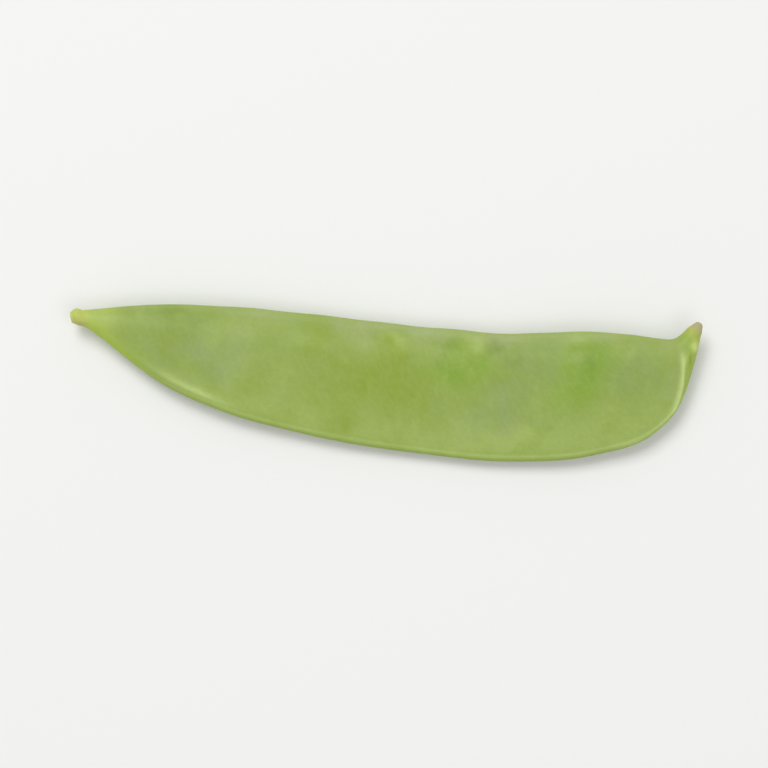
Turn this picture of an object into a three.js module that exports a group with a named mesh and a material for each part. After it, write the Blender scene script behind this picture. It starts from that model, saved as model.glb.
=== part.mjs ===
// A snow pea pod, as picked, lying on one of its two broad valves.
//
// Millimetres. X runs along the pod from the stalk stub to the beak, Y across it from the ribbed lower
// suture to the grooved top suture, and Z up through the two valves. The origin is under the middle of
// the pod's outline, on the surface that it lies on.
//
// The pod is one closed skin, lofted through rings. Each ring crosses the pod from the top suture to the
// lower suture and back under it. The rings stand square to the pod along the body, and fan round the
// blunt far end into the beak.

import * as THREE from "three";

// Stations along the pod. top and low are the points [x, y] of the two sutures, half is half the pod's
// thickness, and round is 1 where the section is a plain oval and 0 where it is a flat pod with ribs.
// steps is how many rings are made from this station up to the next.
const STATIONS = [
  { top: [-45.15, 8.75], low: [-44.95, 7.2], half: 0.8, round: 1, steps: 3 },
  { top: [-44.5, 9.2], low: [-44.2, 6.85], half: 1.18, round: 1, steps: 3 },
  { top: [-43.4, 9.1], low: [-43.2, 6.65], half: 1.08, round: 1, steps: 4 },
  { top: [-41.5, 9.3], low: [-41.4, 5.6], half: 1.3, round: 0.9, steps: 4 },
  { top: [-38.4, 9.8], low: [-38.3, 3.35], half: 1.55, round: 0.6, steps: 6 },
  { top: [-31.7, 10.4], low: [-32.1, -0.9], half: 1.95, round: 0.22, steps: 9 },
  { top: [-22.4, 10.4], low: [-23.3, -4.65], half: 2.2, round: 0.05, steps: 12 },
  { top: [-9.0, 9.6], low: [-10.2, -7.75], half: 2.35, round: 0, steps: 13 },
  { top: [4.4, 8.55], low: [4.4, -9.7], half: 2.4, round: 0, steps: 13 },
  { top: [17.7, 7.95], low: [19.1, -10.45], half: 2.35, round: 0, steps: 11 },
  { top: [28.4, 8.6], low: [31.0, -9.0], half: 2.2, round: 0, steps: 7 },
  { top: [35.1, 8.4], low: [38.6, -5.9], half: 1.95, round: 0.1, steps: 5 },
  { top: [39.1, 8.0], low: [42.3, -1.7], half: 1.6, round: 0.3, steps: 4 },
  { top: [41.1, 8.05], low: [43.85, 2.9], half: 1.3, round: 0.6, steps: 3 },
  { top: [42.2, 8.7], low: [44.5, 5.9], half: 1.15, round: 0.85, steps: 3 },
  { top: [43.1, 9.6], low: [44.9, 8.0], half: 0.95, round: 1, steps: 3 },
  { top: [43.75, 10.1], low: [45.14, 9.4], half: 0.74, round: 1, steps: 3 },
  { top: [44.3, 10.45], low: [45.13, 10.12], half: 0.38, round: 1 },
];
const RING_POINTS = 40;

// The valves: how square their section is, how steeply it falls to the sutures, and how far the fullest
// line leans towards the top suture, as a share of half the width. The ends turn into plain ovals.
const VALVE = { power: 2.6, fall: 1, lean: 0.14 };
const OVAL = { power: 2, fall: 0.5 };

// The sutures are beads along the two edges, and a high blend keeps the step beside them crisp. The top
// one is split by a groove along its crest.
const TOP_BEAD = 0.9;
const LOW_BEAD = 0.5;
const BEAD_BLEND = 5;
const GROOVE = { depth: 0.3, halfWidth: 0.32 };

// Unripe seeds hang from the top suture, by turns on the upper and the under valve. Each has its place
// along the pod and its size as a share of the fullest one.
const SEEDS = [
  { x: -29.2, size: 0.35 },
  { x: -19.5, size: 0.6 },
  { x: -9.5, size: 0.85 },
  { x: 0.4, size: 0.95 },
  { x: 10.4, size: 1 },
  { x: 20.1, size: 0.85 },
  { x: 29.4, size: 0.9 },
  { x: 37.4, size: 0.3 },
];
const SWELLING = { height: 0.4, drop: 4.2, long: 3.5, wide: 3.0, farValveShare: 0.6 };

// The top suture bows out a little over each seed.
const SCALLOP = { height: 0.14, reach: 1.8 };

// The pod's slight warp: its ends lift from a low point a little past the middle, where its weight is,
// it twists, it waves along its length, and it is canted so that it lies flat on that low point.
const WARP = { lowestX: 3.5, bow: 1.1, twist: 0.5, wave: 0.18, waveLength: 58, cant: 0.3 };
const HALF_LENGTH = 45;
const HALF_WIDTH = 10.5;

// Height of the pod's middle plane over the surface at the origin. What would reach below the surface
// is pressed flat, which is the small flat spot that the pod lies on.
const REST_HEIGHT = 2.45;

// The torn end of the stalk is a shallow cup, and the beak ends in a low dome. share is how wide the
// cup's floor and the dome's top are, out of the whole end.
const STALK_CUP = { share: 0.55, depth: 0.22 };
const BEAK_DOME = { share: 0.55, height: 0.1 };

const POD_GREEN = 0x96ab5c;

const mix = (a, b, share) => a + (b - a) * share;

// 1 at no distance, falling smoothly to nothing past the reach.
const bell = (distance, reach) => Math.exp(-((distance / reach) ** 2));

// Smooth curve through values at knots, with slopes weighted by the spacing of the knots.
function curveThrough(knots, values) {
  const last = knots.length - 1;
  const rise = (i) => (values[i + 1] - values[i]) / (knots[i + 1] - knots[i]);
  const slopes = knots.map((_, i) => {
    if (i === 0) return rise(0);
    if (i === last) return rise(last - 1);
    const before = knots[i] - knots[i - 1];
    const after = knots[i + 1] - knots[i];
    return (rise(i - 1) * after + rise(i) * before) / (before + after);
  });
  return (i, share) => {
    const span = knots[i + 1] - knots[i];
    const square = share * share;
    const cube = square * share;
    return (
      (2 * cube - 3 * square + 1) * values[i] +
      (cube - 2 * square + share) * span * slopes[i] +
      (3 * square - 2 * cube) * values[i + 1] +
      (cube - square) * span * slopes[i + 1]
    );
  };
}

// The stations' own curves, over the length of the line midway between the sutures.
const middle = (s) => [mix(s.top[0], s.low[0], 0.5), mix(s.top[1], s.low[1], 0.5)];
const knots = STATIONS.reduce((made, station, i) => {
  if (i === 0) return [0];
  const [x0, y0] = middle(STATIONS[i - 1]);
  const [x1, y1] = middle(station);
  return [...made, made[i - 1] + Math.hypot(x1 - x0, y1 - y0)];
}, []);
const along = (pick) => curveThrough(knots, STATIONS.map(pick));
const curves = {
  topX: along((s) => s.top[0]),
  topY: along((s) => s.top[1]),
  lowX: along((s) => s.low[0]),
  lowY: along((s) => s.low[1]),
  half: along((s) => s.half),
  round: along((s) => s.round),
};

// How much the seeds swell a valve, at a distance x along the pod and a drop below the top suture.
function seedSwelling(x, drop, side) {
  let swelling = 0;
  SEEDS.forEach((seed, i) => {
    const ownValve = i % 2 === 0 ? 1 : -1;
    const share = side === ownValve ? 1 : SWELLING.farValveShare;
    swelling += share * seed.size * bell(x - seed.x, SWELLING.long);
  });
  return SWELLING.height * swelling * bell(drop - SWELLING.drop, SWELLING.wide);
}

function scallop(x, drop) {
  const bows = SEEDS.reduce((sum, seed) => sum + seed.size * bell(x - seed.x, SWELLING.long), 0);
  return SCALLOP.height * bows * bell(drop, SCALLOP.reach);
}

const bead = (depth, radius) => Math.sqrt(Math.max(0, radius ** 2 - (depth - radius) ** 2));

// Half the thickness at share q across the section, from -1 on the lower suture to 1 on the top one.
function halfThickness(section, q) {
  const { width, half, round } = section;
  const flat = 1 - round;
  const across = Math.abs(q - VALVE.lean * flat * (1 - q * q));
  const power = mix(VALVE.power, OVAL.power, round);
  const fall = mix(VALVE.fall, OVAL.fall, round);
  const valve = half * Math.max(0, 1 - across ** power) ** fall;
  const drop = (width * (1 - q)) / 2;
  const top = bead(drop, TOP_BEAD * flat);
  const low = bead(width - drop, LOW_BEAD * flat);
  return (valve ** BEAD_BLEND + top ** BEAD_BLEND + low ** BEAD_BLEND) ** (1 / BEAD_BLEND);
}

function warp(x, y) {
  const length = (x - WARP.lowestX) / HALF_LENGTH;
  const width = y / HALF_WIDTH;
  const wave = Math.cos((2 * Math.PI * (x - WARP.lowestX)) / WARP.waveLength);
  return WARP.bow * length ** 2 + (WARP.twist * length + WARP.cant) * width - WARP.wave * wave;
}

// One ring of points, starting on the crest of the top suture and going over the upper valve.
function ring(i, share) {
  const topX = curves.topX(i, share);
  const topY = curves.topY(i, share);
  const lowX = curves.lowX(i, share);
  const lowY = curves.lowY(i, share);
  const width = Math.hypot(topX - lowX, topY - lowY);
  const round = THREE.MathUtils.clamp(curves.round(i, share), 0, 1);
  const section = { width, half: curves.half(i, share), round };
  const flat = 1 - round;
  const points = [];
  for (let j = 0; j < RING_POINTS; j++) {
    const angle = (2 * Math.PI * j) / RING_POINTS;
    const q = Math.cos(angle);
    const side = 2 * j < RING_POINTS ? 1 : -1;
    const drop = (width * (1 - q)) / 2;
    const thickness = halfThickness(section, q);
    const notch = GROOVE.depth * bell(thickness, GROOVE.halfWidth) * bell(drop, SCALLOP.reach);
    const across = (1 + q) / 2 + (flat * (scallop(topX, drop) - notch)) / width;
    const x = mix(lowX, topX, across);
    const y = mix(lowY, topY, across);
    const offSuture = Math.min(1, thickness / TOP_BEAD);
    const swelling = flat * offSuture * seedSwelling(x, drop, side);
    const z = REST_HEIGHT + warp(x, y) + side * (thickness + swelling);
    points.push(new THREE.Vector3(x, y, Math.max(0, z)));
  }
  return points;
}

function centreOf(points) {
  const sum = points.reduce((total, p) => total.add(p), new THREE.Vector3());
  return sum.divideScalar(points.length);
}

// A smaller copy of an end ring, moved outwards along the pod, and its middle point.
function endCap(points, inner, share, outwards) {
  const centre = centreOf(points);
  const direction = centre.clone().sub(centreOf(inner)).normalize();
  const shift = direction.multiplyScalar(outwards);
  return {
    rim: points.map((p) => p.clone().lerp(centre, 1 - share).add(shift)),
    middle: centre.add(shift),
  };
}

function podGeometry() {
  const rings = [];
  STATIONS.forEach((station, i) => {
    for (let k = 0; k < (station.steps ?? 0); k++) rings.push(ring(i, k / station.steps));
  });
  rings.push(ring(STATIONS.length - 2, 1));

  const stalk = endCap(rings[0], rings[1], STALK_CUP.share, -STALK_CUP.depth);
  const beak = endCap(rings.at(-1), rings.at(-2), BEAK_DOME.share, BEAK_DOME.height);
  rings.unshift(stalk.rim);
  rings.push(beak.rim);

  const points = [...rings.flat(), stalk.middle, beak.middle];
  const stalkMiddle = points.length - 2;
  const beakMiddle = points.length - 1;
  const faces = [];
  for (let j = 0; j < RING_POINTS; j++) {
    const next = (j + 1) % RING_POINTS;
    for (let r = 0; r < rings.length - 1; r++) {
      const here = r * RING_POINTS;
      const there = here + RING_POINTS;
      faces.push(here + j, here + next, there + next, here + j, there + next, there + j);
    }
    const lastRing = (rings.length - 1) * RING_POINTS;
    faces.push(stalkMiddle, next, j, beakMiddle, lastRing + j, lastRing + next);
  }

  const geometry = new THREE.BufferGeometry().setFromPoints(points);
  geometry.setIndex(faces);
  geometry.computeVertexNormals();
  return geometry;
}

const skin = new THREE.MeshStandardMaterial({ color: POD_GREEN, roughness: 0.5, metalness: 0 });
const pod = new THREE.Mesh(podGeometry(), skin);
pod.name = "pod";

const snowPeaPod = new THREE.Group();
snowPeaPod.add(pod);

export default snowPeaPod;
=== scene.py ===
# The looks of a snow pea pod that lies on one valve on a plain pale floor, seen from above.
#
# The pod's surface is made by the same rules as the solid, with many more points, and then gets its
# finer relief along its own normals. Where its patches, its sutures and the parts of its ends lie is
# kept on the points as masks, which the skin's material reads.

import itertools
import math
from types import SimpleNamespace

import bpy
import numpy as np
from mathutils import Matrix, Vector, noise


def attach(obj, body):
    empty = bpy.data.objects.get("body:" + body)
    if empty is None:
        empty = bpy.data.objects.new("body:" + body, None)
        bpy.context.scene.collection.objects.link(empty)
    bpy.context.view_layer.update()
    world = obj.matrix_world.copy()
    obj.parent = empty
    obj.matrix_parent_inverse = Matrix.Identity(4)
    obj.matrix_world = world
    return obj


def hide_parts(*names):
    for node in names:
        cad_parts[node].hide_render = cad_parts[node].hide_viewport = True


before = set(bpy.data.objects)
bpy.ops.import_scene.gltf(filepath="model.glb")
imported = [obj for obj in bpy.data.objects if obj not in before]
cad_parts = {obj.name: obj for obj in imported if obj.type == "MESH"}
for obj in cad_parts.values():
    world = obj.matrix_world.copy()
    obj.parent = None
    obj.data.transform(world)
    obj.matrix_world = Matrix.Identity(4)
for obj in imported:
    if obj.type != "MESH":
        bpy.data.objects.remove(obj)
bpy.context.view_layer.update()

MM = 0.001
SEED_OF_CHANCE = 531

# Stations along the pod, in millimetres. top and low are the points (x, y) of the two sutures, half
# is half the pod's thickness, and round is 1 where the section is a plain oval and 0 where it is a
# flat pod with ribs. steps is how many rings the solid has from this station up to the next.
STATIONS = [
    {"top": (-45.15, 8.75), "low": (-44.95, 7.2), "half": 0.8, "round": 1, "steps": 3},
    {"top": (-44.5, 9.2), "low": (-44.2, 6.85), "half": 1.18, "round": 1, "steps": 3},
    {"top": (-43.4, 9.1), "low": (-43.2, 6.65), "half": 1.08, "round": 1, "steps": 4},
    {"top": (-41.5, 9.3), "low": (-41.4, 5.6), "half": 1.3, "round": 0.9, "steps": 4},
    {"top": (-38.4, 9.8), "low": (-38.3, 3.35), "half": 1.55, "round": 0.6, "steps": 6},
    {"top": (-31.7, 10.4), "low": (-32.1, -0.9), "half": 1.95, "round": 0.22, "steps": 9},
    {"top": (-22.4, 10.4), "low": (-23.3, -4.65), "half": 2.2, "round": 0.05, "steps": 12},
    {"top": (-9.0, 9.6), "low": (-10.2, -7.75), "half": 2.35, "round": 0, "steps": 13},
    {"top": (4.4, 8.55), "low": (4.4, -9.7), "half": 2.4, "round": 0, "steps": 13},
    {"top": (17.7, 7.95), "low": (19.1, -10.45), "half": 2.35, "round": 0, "steps": 11},
    {"top": (28.4, 8.6), "low": (31.0, -9.0), "half": 2.2, "round": 0, "steps": 7},
    {"top": (35.1, 8.4), "low": (38.6, -5.9), "half": 1.95, "round": 0.1, "steps": 5},
    {"top": (39.1, 8.0), "low": (42.3, -1.7), "half": 1.6, "round": 0.3, "steps": 4},
    {"top": (41.1, 8.05), "low": (43.85, 2.9), "half": 1.3, "round": 0.6, "steps": 3},
    {"top": (42.2, 8.7), "low": (44.5, 5.9), "half": 1.15, "round": 0.85, "steps": 3},
    {"top": (43.1, 9.6), "low": (44.9, 8.0), "half": 0.95, "round": 1, "steps": 3},
    {"top": (43.75, 10.1), "low": (45.14, 9.4), "half": 0.74, "round": 1, "steps": 3},
    {"top": (44.3, 10.45), "low": (45.13, 10.12), "half": 0.38, "round": 1, "steps": 0},
]

# The section of the valves, of the two beaded sutures and of the top one's groove, as in the solid.
VALVE = {"power": 2.6, "fall": 1, "lean": 0.14}
OVAL = {"power": 2, "fall": 0.5}
TOP_BEAD = 0.9
LOW_BEAD = 0.5
BEAD_BLEND = 5
GROOVE = {"depth": 0.3, "half_width": 0.32}

# The unripe seeds, by turns on the upper and the under valve: each one's place along the pod and
# its size as a share of the fullest one.
SEEDS = [
    {"x": -29.2, "size": 0.35},
    {"x": -19.5, "size": 0.6},
    {"x": -9.5, "size": 0.85},
    {"x": 0.4, "size": 0.95},
    {"x": 10.4, "size": 1},
    {"x": 20.1, "size": 0.85},
    {"x": 29.4, "size": 0.9},
    {"x": 37.4, "size": 0.3},
]
SWELLING = {"height": 0.4, "drop": 4.2, "long": 3.5, "wide": 3.0, "far_valve_share": 0.6}
SCALLOP = {"height": 0.14, "reach": 1.8}

# The pod's warp and its height over the floor, as in the solid.
WARP = {"lowest_x": 3.5, "bow": 1.1, "twist": 0.5, "wave": 0.18, "wave_length": 58, "cant": 0.3}
HALF_LENGTH = 45
HALF_WIDTH = 10.5
REST_HEIGHT = 2.45
REST_SOFTNESS = 0.06

# The stalk's torn end is a shallow cup and the beak's end a low dome: how high each stands out, and
# the share of its breadth over which it is flat.
STALK_CUP = {"flat_share": 0.55, "height": -0.22}
BEAK_DOME = {"flat_share": 0.55, "height": 0.1}

# How much finer along the pod the surface is than the solid, how many points each ring has, and where
# the rings that close an end lie, as shares of the way from its middle to its rim.
FINER_ALONG = 5
RING_POINTS = 180
CAP_SHARES = (0.16, 0.32, 0.46, 0.6, 0.74, 0.86, 0.95)

# What the waxy skin itself reflects of the white surroundings, as a share of the light on it, and the
# least share that any colour of its own keeps.
SHEEN = 0.022
LEAST_SHARE = 0.01


def linear(share):
    """The share of full light that a share of full brightness in sRGB stands for."""
    return share / 12.92 if share <= 0.04045 else ((share + 0.055) / 1.055) ** 2.4


def srgb(red, green, blue):
    """A colour given as 0 to 255 in sRGB, as the linear colour that the shader takes."""
    return (*(linear(value / 255) for value in (red, green, blue)), 1)


def seen(red, green, blue):
    """The skin's own colour, from how it looks together with its sheen."""
    return (*(max(share - SHEEN, LEAST_SHARE) for share in srgb(red, green, blue)[:3]), 1)


VALVE_GREEN = seen(152, 172, 88)
FRESH_GREEN = seen(137, 171, 65)
OLIVE_GREEN = seen(144, 165, 60)
GREY_GREEN = seen(141, 163, 94)
# Lighter green, partly painted light on the lower side, which faces away from the key light.
LOWER_PALE_AND_LIGHT_GREEN = seen(171, 191, 108)
# Darker green, partly its own tone and partly painted shade where the key light catches slopes.
DEEP_AND_SHADE_GREEN = seen(118, 139, 56)
BLOOM_GREY = seen(176, 186, 138)
# Pale for the veins and the strand; on the strand it is partly a painted highlight.
PALE_VEIN_STRAND_AND_HIGHLIGHT = seen(204, 223, 146)
TOP_SEAM_GREEN = seen(160, 177, 102)
# Darker lower seam: partly its own colour and partly painted shade where the rim curves under.
LOW_SEAM_AND_SHADE_GREEN = seen(146, 165, 84)
STALK_YELLOW = seen(192, 201, 108)
NECK_GREEN = seen(174, 192, 101)
NECK_EDGE_GREEN = seen(172, 196, 82)
FLANK_GREEN = seen(168, 188, 90)
# Painted shade in the fold outside the strand's end.
FOLD_PAINTED_SHADE = seen(142, 163, 68)
BEAK_GREEN = seen(178, 188, 92)
BEAK_BASE_GREEN = seen(150, 178, 70)
# A painted highlight on the small swelling at the foot of the beak.
KNUCKLE_PAINTED_HIGHLIGHT = seen(208, 221, 132)
DRY_TIP = seen(181, 172, 136)
TORN_STALK = seen(200, 200, 132)
# Tan of the calyx's scar, made lighter in part as painted light on the stalk's shaded under side.
SCAR_TAN_AND_LIGHT = seen(186, 178, 112)
FLOOR_WHITE = srgb(241, 241, 240)

# Broad patches of the skin, by tone. Each has its place (x, y), its size along and across the pod and
# how clear it is, on its valve, which is 1 for the upper and -1 for the under one.
PATCHES = {
    "fresh": [
        {"valve": 1, "place": (10.8, 2.9), "size": (4.2, 2.8), "share": 0.9},
        {"valve": 1, "place": (28.6, 2.9), "size": (4.4, 4.2), "share": 0.9},
        {"valve": -1, "place": (-12.0, 0.5), "size": (5.0, 3.0), "share": 0.8},
        {"valve": -1, "place": (20.2, 3.0), "size": (4.5, 3.5), "share": 0.9},
    ],
    "olive": [
        {"valve": 1, "place": (-10.0, 7.8), "size": (3.4, 1.8), "share": 0.75},
        {"valve": 1, "place": (1.5, 6.2), "size": (3.2, 2.4), "share": 0.85},
        {"valve": 1, "place": (0.0, 0.2), "size": (8.8, 4.4), "share": 0.9},
        {"valve": 1, "place": (12.5, 5.6), "size": (2.4, 1.4), "share": 0.5},
        {"valve": 1, "place": (-10.5, -4.6), "size": (8.0, 2.2), "share": 0.3},
        {"valve": 1, "place": (-32.0, 7.2), "size": (4.5, 3.2), "share": 0.6},
        {"valve": 1, "place": (17.9, 5.4), "size": (2.2, 1.5), "share": 0.55},
        {"valve": 1, "place": (27.2, 4.4), "size": (2.4, 1.6), "share": 0.55},
        {"valve": -1, "place": (4.0, 1.0), "size": (7.0, 4.0), "share": 0.7},
    ],
    "grey": [
        {"valve": 1, "place": (-30.5, 8.2), "size": (4.6, 1.6), "share": 0.75},
        {"valve": 1, "place": (-27.5, 3.2), "size": (6.2, 2.8), "share": 0.95},
        {"valve": 1, "place": (17.5, -2.8), "size": (4.6, 3.0), "share": 0.75},
        {"valve": 1, "place": (17.4, 4.8), "size": (2.8, 1.8), "share": 0.95},
        {"valve": 1, "place": (22.5, 4.4), "size": (2.4, 3.0), "share": 0.7},
        {"valve": 1, "place": (37.2, 2.8), "size": (2.8, 3.4), "share": 0.8},
        {"valve": -1, "place": (-24.0, 4.0), "size": (6.0, 4.0), "share": 0.7},
        {"valve": -1, "place": (33.5, -1.0), "size": (4.0, 4.0), "share": 0.7},
    ],
    # The pale patches at the lower edge are painted light on skin that faces away from the key light.
    "pale": [
        {"valve": 1, "place": (2.2, 7.4), "size": (2.4, 1.3), "share": 0.8},
        {"valve": 1, "place": (12.2, 7.2), "size": (2.2, 1.3), "share": 0.9},
        {"valve": 1, "place": (27.2, 7.5), "size": (2.6, 1.1), "share": 0.6},
        {"valve": 1, "place": (12.5, -8.2), "size": (4.5, 1.8), "share": 0.7},
        {"valve": 1, "place": (19.5, -8.6), "size": (4.5, 1.8), "share": 0.9},
        {"valve": -1, "place": (-8.0, 6.5), "size": (3.0, 1.6), "share": 0.7},
    ],
    "haze": [
        {"valve": 1, "place": (-24.4, 2.9), "size": (6.2, 3.4), "share": 0.26},
        {"valve": 1, "place": (-33.8, 4.4), "size": (3.2, 3.0), "share": 0.22},
        {"valve": 1, "place": (16.8, -4.7), "size": (5.0, 2.4), "share": 0.26},
        {"valve": 1, "place": (37.0, 6.8), "size": (3.0, 1.4), "share": 0.2},
        {"valve": 1, "place": (42.2, 2.0), "size": (1.6, 4.0), "share": 0.2},
        {"valve": -1, "place": (-6.0, -3.0), "size": (7.0, 3.0), "share": 0.26},
    ],
    # On the upper valve these are partly painted shade, where the seeds' slopes face the key light.
    "deep": [
        {"valve": 1, "place": (-30.5, 6.6), "size": (3.4, 2.6), "share": 0.3},
        {"valve": 1, "place": (8.3, 4.6), "size": (1.6, 1.2), "share": 0.3},
        {"valve": 1, "place": (14.2, 5.0), "size": (1.4, 1.2), "share": 0.25},
        {"valve": 1, "place": (17.7, 5.3), "size": (2.2, 1.3), "share": 0.6},
        {"valve": 1, "place": (27.6, 4.3), "size": (2.0, 1.3), "share": 0.4},
        {"valve": -1, "place": (9.0, 4.6), "size": (3.0, 1.6), "share": 0.4},
        {"valve": -1, "place": (-20.0, 4.8), "size": (3.0, 1.6), "share": 0.4},
    ],
}

# The patches' edges wander by this reach, each way by a pattern of chance of its own.
PATCH_WANDER = 3.6
WANDER_ALONG = {"size": 4.5, "pattern": 11}
WANDER_ACROSS = {"size": 4.5, "pattern": 12}

# Where a grey bloom hazes the skin along the top suture: its places and reaches along the pod, and
# how far down it reaches from where it is clearest, which is a little below the suture.
BLOOMS = [
    {"x": -36.0, "reach": 2.8, "depth": 1.1, "share": 0.4},
    {"x": -18.0, "reach": 5.0, "depth": 1.9, "share": 0.45},
    {"x": -6.0, "reach": 3.0, "depth": 2.4, "share": 0.45},
    {"x": -3.4, "reach": 2.4, "depth": 3.2, "share": 0.5},
    {"x": 1.2, "reach": 2.4, "depth": 0.7, "share": 0.6},
    {"x": 6.0, "reach": 2.6, "depth": 2.0, "share": 0.85},
    {"x": 11.4, "reach": 2.4, "depth": 0.7, "share": 0.4},
    {"x": 17.0, "reach": 3.4, "depth": 1.7, "share": 0.7},
    {"x": 24.3, "reach": 2.0, "depth": 1.9, "share": 0.25},
    {"x": 30.5, "reach": 4.0, "depth": 1.1, "share": 0.4},
    {"x": 40.6, "reach": 1.5, "depth": 1.9, "share": 0.5},
]
BLOOM_DROP = 0.4

# The valves' lighter lower part, partly their own paler tone and partly painted light on the
# side that faces away from the key light, fades in between these shares of the way down from the
# top suture.
LOWER_PART = (0.5, 0.92)

# How far in from the two sutures the valves' plain ground, with its veins and its ripple, fades in.
GROUND_FROM_TOP = (1.0, 2.2)
GROUND_FROM_LOW = (0.8, 1.8)

# How far in from its suture each seam's own colour fades out. The lower seam's darker colour is
# partly painted shade, where the rim curves under towards the floor.
TOP_SEAM_FADE = (0.3, 1.1)
LOW_SEAM_FADE = (0.25, 1.2)

# The pale strand beside the lower suture, partly its own pale string and partly a painted
# highlight along its lit crest, by the x of the suture: how far in it lies and how clear it is.
STRAND = [
    {"x": -44.0, "rise": 1.0, "share": 0.0},
    {"x": -34.0, "rise": 1.35, "share": 0.15},
    {"x": -29.0, "rise": 1.3, "share": 0.6},
    {"x": -26.0, "rise": 1.3, "share": 0.65},
    {"x": -22.0, "rise": 1.1, "share": 0.15},
    {"x": 5.0, "rise": 1.0, "share": 0.08},
    {"x": 33.0, "rise": 0.4, "share": 0.08},
    {"x": 36.0, "rise": 0.2, "share": 0.25},
    {"x": 39.4, "rise": 0.2, "share": 0.36},
    {"x": 40.9, "rise": 0.45, "share": 0.45},
    {"x": 42.3, "rise": 0.7, "share": 0.95},
    {"x": 43.2, "rise": 1.4, "share": 1.0},
    {"x": 43.75, "rise": 2.3, "share": 1.0},
    {"x": 43.95, "rise": 2.25, "share": 0.45},
    {"x": 44.2, "rise": 2.0, "share": 0.15},
    {"x": 44.45, "rise": 1.4, "share": 0.2},
    {"x": 44.6, "rise": 0.7, "share": 0.45},
    {"x": 44.8, "rise": 0.3, "share": 0.55},
    {"x": 45.1, "rise": 0.3, "share": 0.2},
]

# How far the strand reaches inwards and outwards from its middle. Near the beak it reaches further in,
# which starts over the first span of x and ends over the second. It shows only where the pod has begun
# to be flat.
STRAND_WIDTH = {"inside": 0.7, "near_beak": 1.2, "outside": 0.36}
STRAND_WIDENS = (41, 43.5)
STRAND_NARROWS = (44.2, 44.6)
STRAND_FLATNESS = (0, 0.12)

# The pod's flank outside the strand: how far in from the strand's middle it fades out, and over what x
# of the suture it fades in.
FLANK_EDGE = (-0.3, 0.1)
FLANK_START = (40.5, 43.0)

# The shallow fold outside the strand's end, with painted shade in it, and the small swelling above
# it at the foot of the beak, with a painted highlight on it.
FOLD = {"x": 43.55, "y": 5.0, "width": 0.2, "long": 1.1, "depth": 0.04}
KNUCKLE = {"x": 44.2, "y": 6.8, "size": 0.55, "long": 1.4, "height": 0.07}

# How far from the stalk's end or the beak's the ends' own colours fade out, in millimetres along the
# pod. The neck's reaches further at the lower suture, by its slant.
STALK_FADE = (1.1, 3.52)
NECK_FADE = (4.06, 7.54)
NECK_SLANT = 0.15
BEAK_FADE = (1.53, 4.25)
DRY_TIP_FADE = (0.55, 1.76)

# The yellow edge of the neck, by its x and its height over the lower suture.
NECK_EDGE = {"x_fade": (-38, -31), "rise": 0.4, "reach": 1.3}

# The greener foot of the beak and the stain of the calyx's scar, by how far they lie from their end
# and what share of the way down from the top suture.
BEAK_BASE = {"from_beak": 3.4, "reach": 0.7, "down": 0.4, "down_reach": 0.4}
# The stain is partly painted light on the stalk's under side, which curves away from the light.
SCAR_STAIN = {"run": 1.425, "reach": 1.0, "down_fade": (0.45, 0.9)}

# The torn end of the stalk: how far along the pod it can reach, how torn its rim is beside its middle,
# and over what length that fades out.
TORN_END = {"length": 1, "rim_share": 0.6, "rim_fade": (0, 0.5)}

# The veins' net slants across the valves: its angle to the pod, the cells' length and width, and the
# veins' width as a share of a cell and their height. The net wobbles, and the veins' height varies.
VEINS = {"angle": math.radians(56), "long": 3.6, "wide": 1.25, "share": 0.15, "height": 0.007}
VEIN_WOBBLE = {"along": 0.55, "across": 0.33, "size": 3.0, "pattern": 1}
VEIN_VARIETY = {"mean": 0.6, "spread": 0.6, "size": 6.0, "pattern": 5}
CELLS_BEFORE_REPEAT = 64

# The relief over the smooth pod: how high each kind stands and how wide it is, in millimetres. Each
# kind that chance shapes has its own pattern of it, by number.
UNDULATION = {"height": 0.07, "size": 8.5, "pattern": 2}
RIPPLE = {"height": 0.018, "size": 2.6, "pattern": 3}
PUCKER = {"height": 0.035, "size": 1.9, "stretch": (0.8, 3.2, 3.2), "pattern": 4}
PUCKER_PLACE = {"drop": 2.3, "reach": 1.7}
SEED_PRINT = {"height": 0.06, "long": 2.7, "wide": 2.2, "power": 4}
TOP_STEP = {"height": 0.02, "drop": 2.15, "width": 0.4}
STRAND_HEIGHT = 0.035
STALK_RIDGES = {"height": 0.09, "size": 0.6, "stretch": (4, 1, 1), "pattern": 6}
CALYX_SCAR = {"depth": 0.05, "run": 1.9, "width": 0.22}
SCAR_WANDER = {"reach": 0.25, "size": 0.9, "pattern": 7}
SCAR_VARIETY = {"mean": 0.6, "spread": 0.5, "size": 0.6, "pattern": 8}
TORN_FIBRES = {"height": 0.2, "size": 0.34, "pattern": 9}
DRY_WRINKLES = {"height": 0.05, "size": 0.45, "pattern": 10}

# How far one pattern of chance lies from the next, so that no two are alike.
PATTERN_STEP = Vector((17.3, 5.1, 9.7))


def bell(distance, reach):
    """1 at no distance, falling smoothly to nothing past the reach."""
    return np.exp(-((distance / reach) ** 2))


def fade_in(start, end, value):
    """0 below start, 1 above end and smooth between."""
    share = np.clip((value - start) / (end - start), 0, 1)
    return share * share * (3 - 2 * share)


def fade_out(start, end, value):
    """1 below start, 0 above end and smooth between."""
    return 1 - fade_in(start, end, value)


def smooth_curve(knots, values, at):
    """A smooth curve through values at knots, with slopes weighted by the spacing of the knots."""
    gap = np.diff(knots)
    rise = np.diff(values) / gap
    inner = (rise[:-1] * gap[1:] + rise[1:] * gap[:-1]) / (gap[:-1] + gap[1:])
    slopes = np.concatenate([rise[:1], inner, rise[-1:]])
    i = np.clip(np.searchsorted(knots, at, side="right") - 1, 0, len(gap) - 1)
    share = (at - knots[i]) / gap[i]
    square = share**2
    cube = share**3
    return (
        (2 * cube - 3 * square + 1) * values[i]
        + (cube - 2 * square + share) * gap[i] * slopes[i]
        + (3 * square - 2 * cube) * values[i + 1]
        + (cube - square) * gap[i] * slopes[i + 1]
    )


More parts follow.
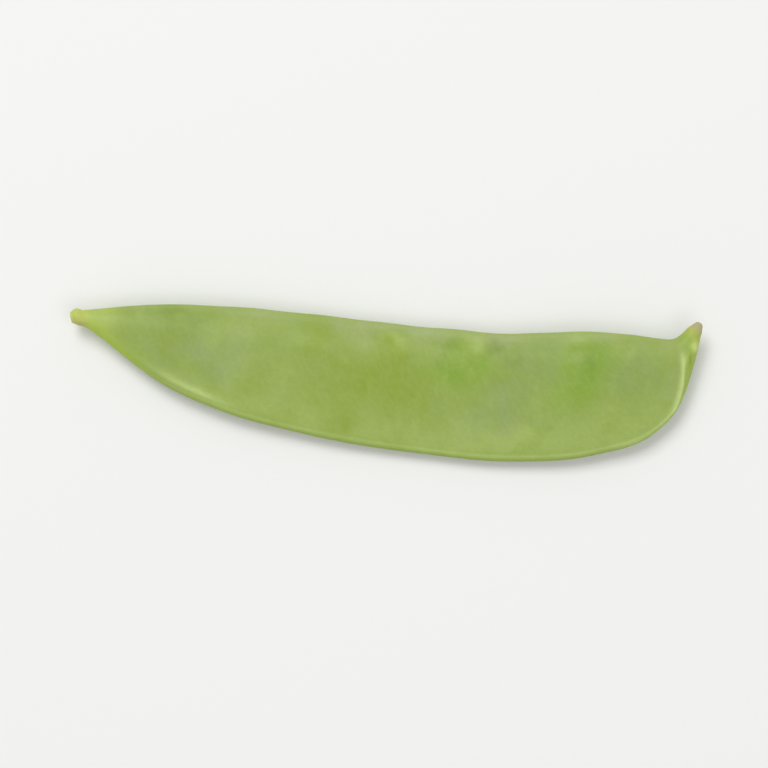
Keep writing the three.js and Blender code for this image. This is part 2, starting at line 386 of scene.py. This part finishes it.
def ring_rows():
    """The sutures, half thickness and roundness at every ring, each as a column."""
    ends = np.array([(station["top"], station["low"]) for station in STATIONS], float)
    middles = ends.mean(axis=1)
    steps = [station["steps"] * FINER_ALONG for station in STATIONS]
    knots = np.concatenate([[0], np.cumsum(np.linalg.norm(np.diff(middles, axis=0), axis=1))])
    spans = zip(knots[:-1], knots[1:], steps[:-1])
    pieces = [np.linspace(start, end, count, endpoint=False) for start, end, count in spans]
    run = np.concatenate([*pieces, knots[-1:]])

    def column(values):
        return smooth_curve(knots, np.array(values, float), run)[:, None]

    return SimpleNamespace(
        run=run[:, None],
        top_x=column(ends[:, 0, 0]),
        top_y=column(ends[:, 0, 1]),
        low_x=column(ends[:, 1, 0]),
        low_y=column(ends[:, 1, 1]),
        half=column([station["half"] for station in STATIONS]),
        round=np.clip(column([station["round"] for station in STATIONS]), 0, 1),
    )


def bead(depth, radius):
    """How thick a round bead is at a depth in from its outer edge."""
    return np.sqrt(np.maximum(0, radius**2 - (depth - radius) ** 2))


def seed_shares(side):
    """Each seed with how much of it shows at every place: all on its own valve, less on the other."""
    for i, seed in enumerate(SEEDS):
        own_valve = 1 if i % 2 == 0 else -1
        yield seed, seed["size"] * np.where(side == own_valve, 1, SWELLING["far_valve_share"])


def seed_swelling(x, drop, side):
    """How far the seeds lift the valves at every place, in mm."""
    total = sum(share * bell(x - seed["x"], SWELLING["long"]) for seed, share in seed_shares(side))
    return SWELLING["height"] * total * bell(drop - SWELLING["drop"], SWELLING["wide"])


def warp(x, y):
    """How far the pod's bow, twist and wave lift it at every place, in mm."""
    length = (x - WARP["lowest_x"]) / HALF_LENGTH
    width = y / HALF_WIDTH
    wave = np.cos(2 * np.pi * (x - WARP["lowest_x"]) / WARP["wave_length"])
    lift = WARP["bow"] * length**2 - WARP["wave"] * wave
    return lift + (WARP["twist"] * length + WARP["cant"]) * width


def pod_grid():
    """The smooth pod as a grid of points in mm, a row for each ring, and what is known of each."""
    rows = ring_rows()
    point = np.arange(RING_POINTS)[None, :]
    upwards = np.cos(2 * np.pi * point / RING_POINTS)
    side = np.where(2 * point < RING_POINTS, 1, -1)
    down = (1 - upwards) / 2
    width = np.hypot(rows.top_x - rows.low_x, rows.top_y - rows.low_y)
    flat = 1 - rows.round
    drop = width * down

    across = np.abs(upwards - VALVE["lean"] * flat * (1 - upwards**2))
    power = VALVE["power"] + (OVAL["power"] - VALVE["power"]) * rows.round
    fall = VALVE["fall"] + (OVAL["fall"] - VALVE["fall"]) * rows.round
    valve = rows.half * np.maximum(0, 1 - across**power) ** fall
    top = bead(drop, TOP_BEAD * flat)
    low = bead(width - drop, LOW_BEAD * flat)
    thickness = (valve**BEAD_BLEND + top**BEAD_BLEND + low**BEAD_BLEND) ** (1 / BEAD_BLEND)

    notch = GROOVE["depth"] * bell(thickness, GROOVE["half_width"])
    bows = sum(seed["size"] * bell(rows.top_x - seed["x"], SWELLING["long"]) for seed in SEEDS)
    outward = flat * (SCALLOP["height"] * bows - notch) * bell(drop, SCALLOP["reach"])
    share = 1 - down + outward / width
    x = rows.low_x + (rows.top_x - rows.low_x) * share
    y = rows.low_y + (rows.top_y - rows.low_y) * share
    off_suture = np.minimum(1, thickness / TOP_BEAD)
    swelling = flat * off_suture * seed_swelling(x, drop, side)
    z = REST_HEIGHT + warp(x, y) + side * (thickness + swelling)

    return SimpleNamespace(
        points=np.stack([x, y, z], axis=-1),
        run=np.broadcast_to(rows.run, x.shape),
        drop=drop,
        rise=width - drop,
        down=np.broadcast_to(down, x.shape),
        flat=np.broadcast_to(flat, x.shape),
        side=np.broadcast_to(side, x.shape),
        low_x=np.broadcast_to(rows.low_x, x.shape),
        cap=np.zeros(x.shape),
    )


def cap_rows(rim, inner, form):
    """Rings that close an end of the pod, from the middle out, and the point in their middle."""
    centre = rim.mean(axis=0)
    direction = centre - inner.mean(axis=0)
    direction /= np.linalg.norm(direction)
    rows = []
    for share in CAP_SHARES:
        lift = form["height"] * fade_in(0, 1 - form["flat_share"], 1 - share)
        rows.append(centre + (rim - centre) * share + direction * lift)
    return np.array(rows), centre + direction * form["height"]


def with_caps(grid):
    """The grid with the stalk's cup and the beak's dome at its ends, and their middle points."""
    points = grid.points
    stalk, stalk_middle = cap_rows(points[0], points[FINER_ALONG], STALK_CUP)
    beak, beak_middle = cap_rows(points[-1], points[-1 - FINER_ALONG], BEAK_DOME)
    count = len(CAP_SHARES)
    inside = 1 - np.array(CAP_SHARES)[:, None]
    capped = {}
    for name, values in vars(grid).items():
        before = np.repeat(values[:1], count, axis=0)
        after = np.repeat(values[-1:], count, axis=0)
        capped[name] = np.concatenate([before, values, after])
    capped["points"] = np.concatenate([stalk, points, beak[::-1]])
    capped["cap"][:count] = inside
    capped["cap"][-count:] = inside[::-1]
    return SimpleNamespace(**capped), stalk_middle, beak_middle


def normals_of(points):
    """The outward normal at each point of the grid."""
    along = np.gradient(points, axis=0)
    around = np.roll(points, -1, axis=1) - np.roll(points, 1, axis=1)
    normals = np.cross(around, along)
    return normals / np.linalg.norm(normals, axis=-1, keepdims=True)


def chance(grid, kind):
    """Smooth chance from about -1 to 1 at every point, of the size and the pattern of its kind."""
    points = grid.points.reshape(-1, 3) / np.array(kind.get("stretch", (1, 1, 1)))
    shift = PATTERN_STEP * (kind["pattern"] + 1)
    values = [noise.noise(Vector(point) / kind["size"] + shift) for point in points]
    return np.array(values).reshape(grid.drop.shape)


def variety(grid, kind):
    """A share that varies by chance about its mean."""
    return kind["mean"] + kind["spread"] * chance(grid, kind)


def cell_edges(along, across, net):
    """The distance from the nearest edge of a net of uneven cells, each about 1 long and wide."""
    cells = (CELLS_BEFORE_REPEAT, CELLS_BEFORE_REPEAT, 2)
    middles = np.random.default_rng(SEED_OF_CHANCE + net).random(cells)
    nearest = np.full(along.shape, np.inf)
    second = np.full(along.shape, np.inf)
    for column_step, row_step in itertools.product((-1, 0, 1), repeat=2):
        column = np.floor(along).astype(int) + column_step
        row = np.floor(across).astype(int) + row_step
        middle = middles[column % CELLS_BEFORE_REPEAT, row % CELLS_BEFORE_REPEAT]
        gap = np.hypot(column + middle[..., 0] - along, row + middle[..., 1] - across)
        second = np.minimum(second, np.maximum(nearest, gap))
        nearest = np.minimum(nearest, gap)
    return second - nearest


def vein_net(grid):
    """1 on the veins and 0 between them, with a net of its own on each valve."""
    cosine = math.cos(VEINS["angle"])
    sine = math.sin(VEINS["angle"])
    wobble = chance(grid, VEIN_WOBBLE)
    along = grid.run * cosine + grid.drop * sine + VEIN_WOBBLE["along"] * wobble
    across = grid.drop * cosine - grid.run * sine + VEIN_WOBBLE["across"] * wobble
    upper = cell_edges(along / VEINS["long"], across / VEINS["wide"], 1)
    under = cell_edges(along / VEINS["long"], across / VEINS["wide"], 2)
    return bell(np.where(grid.side > 0, upper, under), VEINS["share"])


def on_ground(grid):
    """1 on the valves' plain ground, falling to 0 towards the sutures and the ends."""
    return grid.flat * fade_in(*GROUND_FROM_TOP, grid.drop) * fade_in(*GROUND_FROM_LOW, grid.rise)


def patches(grid, x, y, tone):
    """How clearly the patches of a tone show at every point, for points that lie at x and y."""
    total = sum(
        patch["share"]
        * bell(x - patch["place"][0], patch["size"][0])
        * bell(y - patch["place"][1], patch["size"][1])
        * (grid.side == patch["valve"])
        for patch in PATCHES[tone]
    )
    return np.clip(total, 0, 1) * grid.flat


def bloom(grid):
    """How clearly the grey bloom shows at every point."""
    x = grid.points[..., 0]
    total = sum(
        spot["share"] * bell(x - spot["x"], spot["reach"]) * bell(grid.drop - BLOOM_DROP, spot["depth"])
        for spot in BLOOMS
    )
    return np.clip(total, 0, 1) * grid.flat


def valve_places(grid):
    """The masks of the valves' own tones, each a share from 0 to 1 at every point."""
    x = grid.points[..., 0] + PATCH_WANDER * chance(grid, WANDER_ALONG)
    y = grid.points[..., 1] + PATCH_WANDER * chance(grid, WANDER_ACROSS)
    return {
        **{tone: patches(grid, x, y, tone) for tone in PATCHES},
        "lower": fade_in(*LOWER_PART, grid.down) * grid.flat,
        "bloom": bloom(grid),
        "veins": vein_net(grid) * on_ground(grid),
    }


def suture_places(grid):
    """The masks of the sutures and of what lies beside the lower one."""
    x = grid.points[..., 0]
    y = grid.points[..., 1]
    knots = {key: np.array([knot[key] for knot in STRAND]) for key in ("x", "rise", "share")}
    at = np.clip(grid.low_x, knots["x"][0], knots["x"][-1])
    off_strand = grid.rise - smooth_curve(knots["x"], knots["rise"], at)
    clear = np.clip(smooth_curve(knots["x"], knots["share"], at), 0, 1)
    wide = fade_in(*STRAND_WIDENS, grid.low_x) * fade_out(*STRAND_NARROWS, grid.low_x)
    inside = STRAND_WIDTH["inside"] + (STRAND_WIDTH["near_beak"] - STRAND_WIDTH["inside"]) * wide
    width = np.where(off_strand > 0, inside, STRAND_WIDTH["outside"])
    off_knuckle = np.hypot(x - KNUCKLE["x"], (y - KNUCKLE["y"]) / KNUCKLE["long"])
    return {
        "top_seam": fade_out(*TOP_SEAM_FADE, grid.drop) * grid.flat,
        "low_seam": fade_out(*LOW_SEAM_FADE, grid.rise) * grid.flat,
        "strand": clear * bell(off_strand, width) * fade_in(*STRAND_FLATNESS, grid.flat),
        "flank": fade_out(*FLANK_EDGE, off_strand) * fade_in(*FLANK_START, grid.low_x),
        "fold": bell(x - FOLD["x"], FOLD["width"]) * bell(y - FOLD["y"], FOLD["long"]),
        "knuckle": bell(off_knuckle, KNUCKLE["size"]),
    }


def end_places(grid):
    """The masks of the stalk's end and the beak's."""
    x = grid.points[..., 0]
    from_beak = grid.run.max() - grid.run
    neck_edge = bell(grid.rise - NECK_EDGE["rise"], NECK_EDGE["reach"])
    beak_base = bell(from_beak - BEAK_BASE["from_beak"], BEAK_BASE["reach"])
    stain = bell(grid.run - SCAR_STAIN["run"], SCAR_STAIN["reach"])
    torn_rim = TORN_END["rim_share"] * fade_out(*TORN_END["rim_fade"], grid.run)
    return {
        "stalk": fade_out(*STALK_FADE, grid.run),
        "neck": fade_out(*NECK_FADE, grid.run - NECK_SLANT * grid.rise),
        "neck_edge": neck_edge * fade_out(*NECK_EDGE["x_fade"], x),
        "beak": fade_out(*BEAK_FADE, from_beak),
        "beak_base": beak_base * bell(grid.down - BEAK_BASE["down"], BEAK_BASE["down_reach"]),
        "tip": fade_out(*DRY_TIP_FADE, from_beak),
        "torn": np.where(grid.run < TORN_END["length"], np.maximum(grid.cap, torn_rim), 0),
        "scar": stain * fade_in(*SCAR_STAIN["down_fade"], grid.down),
    }


def valve_relief(grid):
    """How far the valves' seeds, ripples and puckers stand out of the smooth pod, in mm."""
    x = grid.points[..., 0]
    height = UNDULATION["height"] * chance(grid, UNDULATION) * grid.flat
    height += RIPPLE["height"] * chance(grid, RIPPLE) * on_ground(grid)
    below_top = bell(grid.drop - PUCKER_PLACE["drop"], PUCKER_PLACE["reach"])
    height += PUCKER["height"] * chance(grid, PUCKER) * below_top * grid.flat
    for seed, share in seed_shares(grid.side):
        along = (x - seed["x"]) / SEED_PRINT["long"]
        across = (grid.drop - SWELLING["drop"]) / SEED_PRINT["wide"]
        seed_top = np.exp(-(np.hypot(along, across) ** SEED_PRINT["power"]))
        height += SEED_PRINT["height"] * share * seed_top * grid.flat
    height -= TOP_STEP["height"] * bell(grid.drop - TOP_STEP["drop"], TOP_STEP["width"]) * grid.flat
    return height


def mask_relief(grid, masks):
    """How far what has a mask of its own stands out of the smooth pod, in mm."""
    height = VEINS["height"] * masks["veins"] * variety(grid, VEIN_VARIETY)
    height += STRAND_HEIGHT * masks["strand"]
    height += KNUCKLE["height"] * masks["knuckle"]
    height -= FOLD["depth"] * masks["fold"]
    height += STALK_RIDGES["height"] * chance(grid, STALK_RIDGES) * masks["stalk"] * (1 - grid.cap)
    off_scar = grid.run - CALYX_SCAR["run"] - SCAR_WANDER["reach"] * chance(grid, SCAR_WANDER)
    height -= CALYX_SCAR["depth"] * bell(off_scar, CALYX_SCAR["width"]) * variety(grid, SCAR_VARIETY)
    height += TORN_FIBRES["height"] * chance(grid, TORN_FIBRES) * masks["torn"]
    height += DRY_WRINKLES["height"] * chance(grid, DRY_WRINKLES) * masks["tip"]
    return height


def resting(z):
    """Heights over the floor, with what would reach below it pressed softly flat."""
    return (z + np.sqrt(z * z + REST_SOFTNESS**2)) / 2


def grid_faces(rows, first_middle, last_middle):
    """The quads of the closed grid, and the triangles that close its ends, as corner indices."""
    point = np.arange(RING_POINTS)
    after = (point + 1) % RING_POINTS
    start = (np.arange(rows - 1) * RING_POINTS)[:, None]
    here = start + point
    beside = start + after
    quads = np.stack([here, beside, beside + RING_POINTS, here + RING_POINTS], axis=-1)
    last = (rows - 1) * RING_POINTS
    near = np.stack([np.full_like(point, first_middle), after, point], axis=-1)
    far = np.stack([np.full_like(point, last_middle), last + point, last + after], axis=-1)
    return quads.reshape(-1, 4).tolist() + near.tolist() + far.tolist()


def skin_map(rows):
    """Where each corner of grid_faces lies on the skin's map: the two valves as two long strips."""
    half = RING_POINTS // 2
    margin = 0.02
    point = np.arange(RING_POINTS)
    step = (0.5 - 2 * margin) / half
    here = np.where(point < half, 1, 0.5) - margin - step * (point % half)
    after = here - step
    along = (margin + (1 - 2 * margin) * np.arange(rows) / (rows - 1))[:, None]
    left = np.broadcast_to(along[:-1], (rows - 1, RING_POINTS))
    right = np.broadcast_to(along[1:], (rows - 1, RING_POINTS))
    low = np.broadcast_to(after, left.shape)
    high = np.broadcast_to(here, left.shape)
    quads = np.stack([left, high, left, low, right, low, right, high], axis=-1)
    first = np.full_like(here, margin)
    last = 1 - first
    between = (here + after) / 2
    near = np.stack([first / 2, between, first, after, first, here], axis=-1)
    far = np.stack([1 - first / 2, between, last, here, last, after], axis=-1)
    return np.concatenate([quads.ravel(), near.ravel(), far.ravel()])


def store(mesh, name, values):
    """Keeps a mask on the mesh's points. An end's middle point has the mean of the ring around it."""
    ends = [values[0].mean(), values[-1].mean()]
    attribute = mesh.attributes.new(name, "FLOAT", "POINT")
    attribute.data.foreach_set("value", np.concatenate([values.ravel(), ends]).astype(np.float32))


def make_pod():
    """The pod's whole skin, with its relief and its masks, as one closed mesh."""
    grid, stalk_middle, beak_middle = with_caps(pod_grid())
    masks = {**valve_places(grid), **suture_places(grid), **end_places(grid)}
    height = valve_relief(grid) + mask_relief(grid, masks)
    points = grid.points + normals_of(grid.points) * height[..., None]
    points[..., 2] = resting(points[..., 2])

    flat_points = points.reshape(-1, 3)
    vertices = np.concatenate([flat_points, [stalk_middle, beak_middle]]) * MM
    faces = grid_faces(len(points), len(flat_points), len(flat_points) + 1)
    mesh = bpy.data.meshes.new("pod_surface")
    mesh.from_pydata(vertices.tolist(), [], faces)
    mesh.shade_smooth()
    mesh.uv_layers.new(name="OFBake").uv.foreach_set("vector", skin_map(len(points)))
    for name, values in masks.items():
        store(mesh, name, values)

    surface = bpy.data.objects.new("pod_skin_surface", mesh)
    bpy.context.scene.collection.objects.link(surface)
    return surface


# The sockets of Blender's map range node, and those of its mix node when it mixes colours.
RANGE_SOCKETS = ("From Min", "From Max", "To Min", "To Max")
MIX_INPUTS = (0, 6, 7)
MIX_RESULT = 2


class Shader:
    """The few kinds of shader node that the materials are made of, each by a short name."""

    def __init__(self, name):
        self.material = bpy.data.materials.new(name)
        self.material.use_nodes = True
        self.tree = self.material.node_tree
        self.skin = self.tree.nodes["Principled BSDF"]
        self.place = self.tree.nodes.new("ShaderNodeTexCoord").outputs["Object"]

    def link(self, value, socket):
        """Links a socket to another's value, or sets it to a constant."""
        if isinstance(value, bpy.types.NodeSocket):
            self.tree.links.new(value, socket)
        else:
            socket.default_value = value

    def mask(self, name):
        """The mask of this name that the mesh keeps on its points."""
        node = self.tree.nodes.new("ShaderNodeAttribute")
        node.attribute_name = name
        return node.outputs["Fac"]

    def chance(self, size, detail, stretch=(1, 1, 1)):
        """A noise pattern with features about size mm across, from 0 to 1."""
        scale = self.tree.nodes.new("ShaderNodeMapping")
        scale.inputs["Scale"].default_value = [1 / (share * size * MM) for share in stretch]
        self.link(self.place, scale.inputs["Vector"])
        node = self.tree.nodes.new("ShaderNodeTexNoise")
        node.inputs["Scale"].default_value = 1
        node.inputs["Detail"].default_value = detail
        self.link(scale.outputs["Vector"], node.inputs["Vector"])
        return node.outputs["Fac"]

    def pattern(self, levels, shares, **kind):
        """A noise pattern that goes from one share to the other between two levels of the noise."""
        node = self.tree.nodes.new("ShaderNodeMapRange")
        node.interpolation_type = "SMOOTHSTEP"
        for name, number in zip(RANGE_SOCKETS, (*levels, *shares)):
            node.inputs[name].default_value = number
        self.link(self.chance(**kind), node.inputs["Value"])
        return node.outputs["Result"]

    def maths(self, operation, first, second):
        """The result of a sum or a product of two values."""
        node = self.tree.nodes.new("ShaderNodeMath")
        node.operation = operation
        self.link(first, node.inputs[0])
        self.link(second, node.inputs[1])
        return node.outputs[0]

    def times(self, first, second):
        """The product of two values."""
        return self.maths("MULTIPLY", first, second)

    def mix(self, share, first, second):
        """The first colour, covered by the second one by a share."""
        node = self.tree.nodes.new("ShaderNodeMix")
        node.data_type = "RGBA"
        for value, i in zip((share, first, second), MIX_INPUTS):
            self.link(value, node.inputs[i])
        return node.outputs[MIX_RESULT]

    def scaled(self, colour, share):
        """A colour made darker or lighter by a share."""
        node = self.tree.nodes.new("ShaderNodeVectorMath")
        node.operation = "SCALE"
        self.link(colour, node.inputs[0])
        self.link(share, node.inputs["Scale"])
        return node.outputs[0]


# The valves' faint mottle under and over their patches, what breaks the patches up, and the fine
# grain over the whole skin. Each is a pattern of noise: its features' size in millimetres and their
# stretch, its detail, the levels of noise between which it changes, and its share at each level.
LONG = (1.5, 1, 1)
BROAD = (1, 1.6, 1)
GREY_MOTTLE = {"size": 6, "detail": 3, "stretch": LONG, "levels": (0.45, 0.7), "shares": (0, 0.4)}
OLIVE_MOTTLE = {"size": 3.4, "detail": 3, "levels": (0.45, 0.72), "shares": (0, 0.3)}
PALE_MOTTLE = {"size": 2.6, "detail": 3, "stretch": BROAD, "levels": (0.5, 0.75), "shares": (0, 0.3)}
PATCH_BREAKS = {"size": 2.8, "detail": 3, "levels": (0.25, 0.6), "shares": (0.55, 1)}
GRAIN = {"size": 0.55, "detail": 3, "levels": (0.25, 0.75), "shares": (0.97, 1.03)}

# How clearly the valves' lower part shows, and the colour of each tone of patch, in the order in
# which they cover each other.
LOWER_SHARE = 0.85
PATCH_COLOURS = {
    "grey": GREY_GREEN,
    "olive": OLIVE_GREEN,
    "fresh": FRESH_GREEN,
    "pale": LOWER_PALE_AND_LIGHT_GREEN,
    "deep": DEEP_AND_SHADE_GREEN,
    "haze": BLOOM_GREY,
}

# The layers over the valves, in the order in which they cover each other: each one's mask, how
# clearly it shows, which is a plain share or a pattern, and its colour.
SKIN_LAYERS = [
    ("bloom", {"size": 2.4, "detail": 3, "levels": (0.3, 0.65), "shares": (0.55, 1)}, BLOOM_GREY),
    ("veins", 0.045, PALE_VEIN_STRAND_AND_HIGHLIGHT),
    ("top_seam", 0.55, TOP_SEAM_GREEN),
    # Partly painted shade along the lower rim.
    ("low_seam", 0.65, LOW_SEAM_AND_SHADE_GREEN),
    ("flank", 0.8, FLANK_GREEN),
    ("neck", 0.9, NECK_GREEN),
    ("neck_edge", 0.75, NECK_EDGE_GREEN),
    ("stalk", 0.9, STALK_YELLOW),
    ("beak", 0.85, BEAK_GREEN),
    ("beak_base", 0.8, BEAK_BASE_GREEN),
    # The strand's pale colour is partly a painted highlight along its lit crest.
    ("strand", {"size": 5, "detail": 2, "levels": (0.3, 0.65), "shares": (0.6, 1)}, PALE_VEIN_STRAND_AND_HIGHLIGHT),
    # Painted shade in the fold.
    ("fold", 0.8, FOLD_PAINTED_SHADE),
    # A painted highlight on the swelling at the foot of the beak.
    ("knuckle", 0.9, KNUCKLE_PAINTED_HIGHLIGHT),
    ("tip", {"size": 0.5, "detail": 2, "levels": (0.3, 0.6), "shares": (0.6, 1)}, DRY_TIP),
    # Partly painted light on the stalk's under side.
    ("scar", {"size": 0.6, "detail": 3, "levels": (0.35, 0.65), "shares": (0.35, 0.95)}, SCAR_TAN_AND_LIGHT),
    ("torn", {"size": 0.3, "detail": 3, "levels": (0.3, 0.6), "shares": (0.5, 1)}, TORN_STALK),
]

# How rough the waxy skin is, and how much rougher it is under the bloom and at the dry tip. A little
# light goes into it.
WAXY = {"size": 1.6, "detail": 3, "levels": (0.3, 0.7), "shares": (0.47, 0.57)}
ROUGHER = {"bloom": 0.08, "tip": 0.25}
SKIN_VALUES = {
    "IOR": 1.42,
    "Subsurface Weight": 0.3,
    "Subsurface Radius": (0.6, 1.0, 0.3),
    "Subsurface Scale": 0.9 * MM,
    "Coat Weight": 0.05,
    "Coat Roughness": 0.35,
}
BUMP = {"size": 0.28, "detail": 2}
BUMP_VALUES = {"Strength": 0.5, "Distance": 0.015 * MM}


def skin_colour(shader):
    """The skin's colour: the valves with their patches and mottle, then every layer over them."""
    colour = shader.mix(shader.pattern(**GREY_MOTTLE), VALVE_GREEN, GREY_GREEN)
    # Lighter lower part, partly painted light where it faces away from the key light.
    colour = shader.mix(shader.times(shader.mask("lower"), LOWER_SHARE), colour, LOWER_PALE_AND_LIGHT_GREEN)
    broken = shader.pattern(**PATCH_BREAKS)
    for tone, patch_colour in PATCH_COLOURS.items():
        colour = shader.mix(shader.times(shader.mask(tone), broken), colour, patch_colour)
    colour = shader.mix(shader.pattern(**OLIVE_MOTTLE), colour, OLIVE_GREEN)
    colour = shader.mix(shader.pattern(**PALE_MOTTLE), colour, LOWER_PALE_AND_LIGHT_GREEN)
    for name, clearness, layer_colour in SKIN_LAYERS:
        share = shader.pattern(**clearness) if isinstance(clearness, dict) else clearness
        colour = shader.mix(shader.times(shader.mask(name), share), colour, layer_colour)
    return shader.scaled(colour, shader.pattern(**GRAIN))


def pod_material():
    """The pod's skin: its colour, how rough and how clear it is, and its finest grain as a bump."""
    shader = Shader("pod_skin")
    shader.link(skin_colour(shader), shader.skin.inputs["Base Color"])
    rough = shader.pattern(**WAXY)
    for name, roughness in ROUGHER.items():
        rough = shader.maths("ADD", rough, shader.times(shader.mask(name), roughness))
    shader.link(rough, shader.skin.inputs["Roughness"])
    for name, value in SKIN_VALUES.items():
        shader.skin.inputs[name].default_value = value

    bump = shader.tree.nodes.new("ShaderNodeBump")
    for name, value in BUMP_VALUES.items():
        bump.inputs[name].default_value = value
    shader.link(shader.chance(**BUMP), bump.inputs["Height"])
    shader.link(bump.outputs["Normal"], shader.skin.inputs["Normal"])
    return shader.material


# The floor and the lights, in metres and watts.
FLOOR_HALF = 1.5
FLOOR_VALUES = {"Base Color": FLOOR_WHITE, "Roughness": 0.9, "Specular IOR Level": 0.1}
SKY = {"Color": (1, 1, 0.985, 1), "Strength": 0.475}
LIGHTS = {
    "key": {"place": (-0.3, 0.55, 1.0), "size": 0.55, "power": 6.9},
    "fill": {"place": (0.3, -0.3, 1.0), "size": 0.8, "power": 2.2},
}


def make_floor():
    """A plain pale floor."""
    half = FLOOR_HALF
    mesh = bpy.data.meshes.new("floor")
    corners = [(-half, -half, 0), (half, -half, 0), (half, half, 0), (-half, half, 0)]
    mesh.from_pydata(corners, [], [(0, 1, 2, 3)])
    floor = bpy.data.objects.new("floor", mesh)
    bpy.context.scene.collection.objects.link(floor)
    shader = Shader("floor_white")
    for name, value in FLOOR_VALUES.items():
        shader.skin.inputs[name].default_value = value
    mesh.materials.append(shader.material)


def add_light(name, place, size, power):
    """A square soft light at place, turned to the middle of the floor."""
    light = bpy.data.lights.new(name, "AREA")
    light.shape = "SQUARE"
    light.size = size
    light.energy = power
    lamp = bpy.data.objects.new(name, light)
    lamp.location = place
    lamp.rotation_euler = (-Vector(place)).to_track_quat("-Z", "Y").to_euler()
    bpy.context.scene.collection.objects.link(lamp)


def light_scene():
    """Soft light from all round, and more from above and from the upper left of the picture."""
    world = bpy.data.worlds.new("studio")
    world.use_nodes = True
    for name, value in SKY.items():
        world.node_tree.nodes["Background"].inputs[name].default_value = value
    bpy.context.scene.world = world
    for name, light in LIGHTS.items():
        add_light(name, **light)
    bpy.context.scene.view_settings.view_transform = "Standard"


# The camera looks straight down. The pod slopes down to the right in the picture by this angle, and
# it fills most of the width of the picture, which is measured at the height of the pod's middle.
SLOPE = math.radians(2.06)
FRAME_WIDTH = 110 * MM
POD_MIDDLE = 2.8 * MM
NEAREST_SEEN = 10 * MM
LENS = 150
SENSOR = 36


def add_camera():
    """The camera over the pod's middle."""
    camera = bpy.data.objects.new("camera", bpy.data.cameras.new("camera"))
    camera.data.lens = LENS
    camera.data.sensor_width = SENSOR
    camera.data.clip_start = NEAREST_SEEN
    camera.location = (0, 0, POD_MIDDLE + FRAME_WIDTH * LENS / SENSOR)
    camera.rotation_euler = (0, 0, SLOPE)
    bpy.context.scene.collection.objects.link(camera)
    bpy.context.scene.camera = camera


pod = make_pod()
pod.data.materials.append(pod_material())
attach(pod, "root")
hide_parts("pod")
make_floor()
light_scene()
add_camera()
